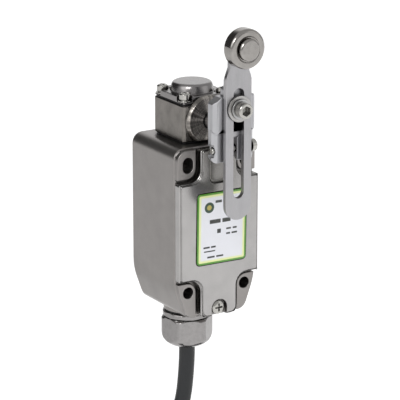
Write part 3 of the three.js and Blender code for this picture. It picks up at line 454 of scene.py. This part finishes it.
CAP_LOOK = brushed_metal("ground_cap", (0.26, 0.25, 0.248), 0.2, (0.05, 1, 1), 67)
HOLDER_LOOK = brushed_metal("satin_holder", (0.46, 0.46, 0.475), 0.4, (1, 1, 0.035), 71)
WASHER_LOOK = turned_metal("plain_washer", (0.45, 0.44, 0.43), 0.3, 1, BOLT_AXIS, 0.4, 61)

# ---------------------------------------------------------------- meshes


def new_piece(name, mesh, body, look, nodes):
    """A visual piece that rides on a body and stands for CAD nodes."""
    piece = bpy.data.objects.new(name, mesh)
    bpy.context.scene.collection.objects.link(piece)
    mesh.materials.clear()
    mesh.materials.append(look)
    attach(piece, body)
    if nodes:
        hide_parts(*nodes)
    return piece


def mesh_from(name, build):
    """A mesh that a function fills through bmesh."""
    mesh = bpy.data.meshes.new(name)
    form = bmesh.new()
    build(form)
    bmesh.ops.recalc_face_normals(form, faces=form.faces)
    form.to_mesh(mesh)
    form.free()
    return mesh


SHARP_ANGLE = math.radians(38)  # edges that turn more than this are rounded
MERGE_DISTANCE = 2e-6  # metres
FLAT_ANGLE = math.radians(0.6)  # facets closer to one plane than this become one face


def soften(piece, edge, steps=2):
    """Rounds the sharp edges by edge millimetres and smooths the rest."""
    mesh = piece.data
    mesh.shade_smooth()
    bevel = piece.modifiers.new("edges", "BEVEL")
    bevel.width = edge * MM
    bevel.segments = steps
    bevel.limit_method = "ANGLE"
    bevel.angle_limit = SHARP_ANGLE
    bevel.use_clamp_overlap = False
    bevel.miter_outer = "MITER_ARC"
    normals = piece.modifiers.new("normals", "WEIGHTED_NORMAL")
    normals.weight = 80
    normals.mode = "FACE_AREA"


def refined(node, edge, steps=2, look=None):
    """The CAD node's own shape with its flat facets merged, its edges rounded and a finish on it."""
    source = frame["nodes"][node]

    def build(form):
        form.from_mesh(source.data)
        bmesh.ops.remove_doubles(form, verts=form.verts, dist=MERGE_DISTANCE)
        bmesh.ops.dissolve_limit(form, angle_limit=FLAT_ANGLE, verts=form.verts, edges=form.edges,
                                 delimit=set())

    mesh = mesh_from(node + "_shape", build)
    piece = new_piece(node + "_finished", mesh, source["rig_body"],
                      look or LOOKS[SLOT_OF[node]], [node])
    soften(piece, edge, steps)
    return piece


def lathe(form, profile, x, y, steps):
    """Turns a profile of (radius, height) millimetres about an upright axis at x, y."""
    rows = []
    for radius, height in profile:
        count = 1 if radius == 0 else steps
        turns = [2 * math.pi * i / steps for i in range(count)]
        rows.append([form.verts.new(mm(x + radius * math.cos(turn), y + radius * math.sin(turn), height))
                     for turn in turns])
    for lower, upper in zip(rows, rows[1:]):
        for i in range(steps):
            j = (i + 1) % steps
            corners = [lower[i % len(lower)], lower[j % len(lower)],
                       upper[j % len(upper)], upper[i % len(upper)]]
            face = []
            for corner in corners:
                if corner not in face:
                    face.append(corner)
            if len(face) > 2:
                form.faces.new(face)


def tube(form, points, radius, sides):
    """A round tube along points, in metres, with a radius in millimetres, its ends closed."""
    points = [Vector(p) for p in points]
    direction = (points[1] - points[0]).normalized()
    side = direction.orthogonal().normalized()
    rows = []
    for i, point in enumerate(points):
        ahead = points[min(i + 1, len(points) - 1)] - points[max(i - 1, 0)]
        ahead.normalize()
        side = (side - ahead * side.dot(ahead)).normalized()
        other = ahead.cross(side)
        rows.append([form.verts.new(point + (side * math.cos(2 * math.pi * k / sides)
                                             + other * math.sin(2 * math.pi * k / sides)) * radius * MM)
                     for k in range(sides)])
    for lower, upper in zip(rows, rows[1:]):
        for k in range(sides):
            j = (k + 1) % sides
            form.faces.new((lower[k], lower[j], upper[j], upper[k]))
    form.faces.new(list(reversed(rows[0])))
    form.faces.new(rows[-1])


# ---------------------------------------------------------------- cable

CABLE_RADIUS = 3.8
LEAD = [(0, GLAND_Y, -64.3), (0, GLAND_Y, -70), (-0.3, GLAND_Y, -76), (-0.8, GLAND_Y, -82),
        (-1.7, GLAND_Y, -89), (-3.2, GLAND_Y, -95), (-6.3, GLAND_Y, -101.3), (-10.6, GLAND_Y, -107.6)]
COIL_CENTRE = (13.4, GLAND_Y, -155.4)
COIL_RADIUS = 45.5
TURN_OFFSET = 5.6  # from the bundle's middle to the middle of a turn
TURN_SHIFT = 88 / 360  # how far a turn moves round the bundle, per turn
COIL_START = 125
COIL_END = 1260
COIL_STEP = 15
TAIL_STRAIGHT = 33  # the sheathed end hangs straight for this far
TAIL_WIRES = 35  # the bared wires and their sleeves below it


def coil_point(angle):
    """A point on the coil, in millimetres, at an angle in degrees."""
    turn = math.radians(angle)
    drift = math.radians((angle - COIL_START) * TURN_SHIFT)
    reach = COIL_RADIUS + TURN_OFFSET * math.cos(drift)
    return (COIL_CENTRE[0] + reach * math.cos(turn), COIL_CENTRE[1] + TURN_OFFSET * math.sin(drift),
            COIL_CENTRE[2] + reach * math.sin(turn))


def make_cable():
    count = round((COIL_END - COIL_START) / COIL_STEP)
    route = list(LEAD)
    route += [coil_point(COIL_START + (COIL_END - COIL_START) * i / count) for i in range(count + 1)]
    x, y, z = route[-1]
    route += [(x, y, z - TAIL_STRAIGHT * share) for share in (0.25, 0.5, 0.75, 1.0)]
    curve = bpy.data.curves.new("cable", "CURVE")
    curve.dimensions = "3D"
    spline = curve.splines.new("BEZIER")
    spline.bezier_points.add(len(route) - 1)
    for knot, point in zip(spline.bezier_points, route):
        knot.co = mm(*point)
        knot.handle_left_type = "AUTO"
        knot.handle_right_type = "AUTO"
    spline.resolution_u = 5
    curve.bevel_depth = CABLE_RADIUS * MM
    curve.bevel_resolution = 6
    curve.use_fill_caps = True
    cable = bpy.data.objects.new("supply_cable", curve)
    bpy.context.scene.collection.objects.link(cable)
    curve.materials.append(LOOKS["cable_sheath"])
    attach(cable, "housing")
    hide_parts("cable_lead", "cable_coil")
    return cable, Vector(route[-1])


cable, sheath_end = make_cable()


WIRE_RADIUS = 0.95
WIRE_ROOT = 2.0  # how far a wire starts inside the sheath
WIRE_REACH = TAIL_WIRES - 7  # a crimped sleeve reaches about 7 mm further
WIRE_STEPS = 12
SLEEVE_RISE = 1.5  # how far a sleeve goes back over its wire
# Across and back from the sheath's middle, and how far the wire bows outwards.
WIRE_PLACES = [(1.5, 1.3, 1.35), (-1.5, 1.3, 1.0), (1.4, -1.4, 0.85), (-1.4, -1.4, 1.2)]
# Radius, and how far below the sleeve's top.
SLEEVE_PROFILE = [(0, 0), (1.25, 0), (1.35, 0.4), (1.25, 4.0), (0.75, 4.6), (0.75, 8.6), (0.6, 9.0), (0, 9.0)]


def wire_line(x, y, bow):
    """A bared wire's points, in metres."""
    start = sheath_end + Vector((x, y, WIRE_ROOT))
    line = []
    for i in range(WIRE_STEPS + 1):
        t = i / WIRE_STEPS
        out = math.sin(t * math.pi * 0.8) * 0.5 * bow
        line.append((start + Vector((x * out, y * out, -WIRE_REACH * t))) * MM)
    return line


def make_tail():
    """The bared wires that end the cable, each with a crimped sleeve."""
    wires = [wire_line(*place) for place in WIRE_PLACES]
    wire_mesh = mesh_from("bared_wires", lambda form: [tube(form, line, WIRE_RADIUS, 14) for line in wires])
    wire_piece = new_piece("bared_wires", wire_mesh, "housing", LOOKS["wire_insulation"],
                           ["cable_end"])
    wire_mesh.shade_smooth()

    def build_sleeves(form):
        for line in wires:
            tip = line[-1] / MM
            high = tip.z + SLEEVE_RISE
            lathe(form, [(radius, high - drop) for radius, drop in SLEEVE_PROFILE], tip.x, tip.y, 20)

    sleeve_mesh = mesh_from("wire_sleeves", build_sleeves)
    sleeve_piece = new_piece("wire_sleeves", sleeve_mesh, "housing",
                             LOOKS["bright_steel"], [])
    soften(sleeve_piece, 0.1)
    return wire_piece, sleeve_piece


tail_pieces = make_tail()

# ---------------------------------------------------------------- pieces that keep their CAD shape

for node in ("body", "cover"):
    refined(node, 0.35, 3)
refined("head", 0.3, 3)
refined("head_cap", 0.3, 3, look=CAP_LOOK)
refined("lever_holder", 0.3, 3, look=HOLDER_LOOK)
refined("lever_arm", 0.2, 3)
refined("label_plate", 0.06, 2)
for node in ("cap_screw_1", "cap_screw_2", "cap_screw_3", "cap_screw_4", "cover_screw_top",
             "cover_screw_bottom", "clamp_screw", "roller_spacer", "spring_washer", "shaft"):
    refined(node, 0.12, 2)
refined("flat_washer", 0.12, 2, look=WASHER_LOOK)
refined("lock_bolt", 0.15, 2)
refined("roller_pin", 0.3, 3, look=ROLLER_LOOK)
refined("roller", 0.3, 3, look=ROLLER_LOOK)
refined("gland_body", 0.3, 3, look=GLAND_LOOK)
refined("dome_nut", 0.35, 3, look=GLAND_LOOK)
for node in ("gland_washer", "gland_insert", "shaft_seal", "head_gasket", "cap_gasket"):
    refined(node, 0.08, 2)


def make_plunger_spring():
    """The coil under the plunger, on a mesh of its own; nothing here shortens it as the plunger goes down."""
    spring = refined("plunger_spring", 0.05, 1)
    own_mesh(spring)


make_plunger_spring()

for node, shown in frame["nodes"].items():
    if not shown.hide_render:
        look = LOOKS[SLOT_OF[node]]
        for slot in shown.material_slots:
            slot.material = look

# ---------------------------------------------------------------- studio

FLOOR_Z = -226 * MM
FLOOR_REACH = 8  # metres from its middle to its edge
# The floor gives off light of its own. It fades across a straight line, a painted shadow as of a flag that is
# not there, and it is weak round SHADE_SPOT, painted shade that gives the metal something darker to mirror.
# In millimetres.
PAINTED_SHADOW_EDGE = (-522, -853, 0)
PAINTED_SHADOW_SIDE = (-0.921, 0.390, 0)
PAINTED_SHADOW_FADE = (-60, 240)
FLOOR_GLOW = (0.5, 0.3)  # before and beyond the painted shadow's edge
SHADE_SPOT = (-140, 300, 0)
SHADE_FADE = (70, 200)
SHADE_LEVEL = 0.3  # share of the glow that is left there


def make_floor():
    """A pale floor that gives off a little light of its own, less of it in two places."""

    def build(form):
        bmesh.ops.create_grid(form, x_segments=8, y_segments=8, size=FLOOR_REACH)

    mesh = mesh_from("floor", build)
    floor = bpy.data.objects.new("floor", mesh)
    floor.location.z = FLOOR_Z
    bpy.context.scene.collection.objects.link(floor)
    look = Look("pale_floor", Metallic=0.0, Roughness=0.7, Emission_Color=(1, 1, 1, 1))
    beyond = look.vector_math("DOT_PRODUCT", look.vector_math("SUBTRACT", look.place, PAINTED_SHADOW_EDGE), PAINTED_SHADOW_SIDE,
                              output="Value")
    glow = look.spread(beyond, *PAINTED_SHADOW_FADE, *FLOOR_GLOW, smooth=True)
    near = look.vector_math("DISTANCE", look.place, SHADE_SPOT, output="Value")
    kept = look.spread(near, *SHADE_FADE, SHADE_LEVEL, 1.0, smooth=True)
    look.set("Emission Strength", look.math("MULTIPLY", glow, kept))
    tone = look.noise(60, 2)
    look.set("Base Color", look.tones(tone, (0.3, (0.86, 0.86, 0.86)), (0.7, (0.9, 0.9, 0.9))))
    mesh.materials.append(look.material)


ROOM_LEVEL = 0.6
# Direction, inner and outer half angle in degrees, brightness there.
ROOM_PATCHES = [((-0.45, 0.82, 0.3), 25, 45, 0.07), ((0.5, 0.82, 0.28), 14, 30, 1.0),
                ((-0.85, -0.2, 0.45), 12, 26, 2.0), ((0.7, -0.65, 0.3), 10, 24, 1.05)]


def make_world():
    """White where the camera looks straight at it, and a room of softer and brighter patches otherwise."""
    world = bpy.data.worlds.new("studio")
    bpy.context.scene.world = world
    world.use_nodes = True
    build = Nodes(world.node_tree)
    background = build.nodes["Background"]
    background.inputs["Color"].default_value = (1, 1, 1, 1)
    toward = build.vector_math("NORMALIZE", build.nodes.new("ShaderNodeTexCoord").outputs["Generated"])
    level = ROOM_LEVEL
    for direction, inner, outer, value in ROOM_PATCHES:
        aim = Vector(direction).normalized()
        closeness = build.vector_math("DOT_PRODUCT", toward, tuple(aim), output="Value")
        edge, middle = math.cos(math.radians(outer)), math.cos(math.radians(inner))
        share = build.spread(closeness, edge, middle, 0.0, 1.0, smooth=True)
        kept = build.math("MULTIPLY", level, build.math("SUBTRACT", 1.0, share))
        level = build.math("ADD", kept, build.math("MULTIPLY", share, value))
    seen = build.nodes.new("ShaderNodeLightPath").outputs["Is Camera Ray"]
    unseen = build.math("MULTIPLY", build.math("SUBTRACT", 1.0, seen), level)
    build.feed(background.inputs["Strength"], build.math("ADD", seen, unseen))


KEY_PLACE = (-0.9, -0.7, 0.9)
KEY_SIZE = 0.5
KEY_POWER = 6


def make_key_light():
    """One softbox, above the camera and to its left, that points at the switch."""
    data = bpy.data.lights.new("key_softbox", "AREA")
    data.shape = "RECTANGLE"
    data.size = KEY_SIZE
    data.size_y = KEY_SIZE
    data.energy = KEY_POWER
    light = bpy.data.objects.new("key_softbox", data)
    light.location = KEY_PLACE
    light.rotation_mode = "QUATERNION"
    light.rotation_quaternion = (-Vector(KEY_PLACE)).to_track_quat("-Z", "Y")
    bpy.context.scene.collection.objects.link(light)


make_floor()
make_world()
make_key_light()
bpy.context.scene.view_settings.view_transform = "Standard"
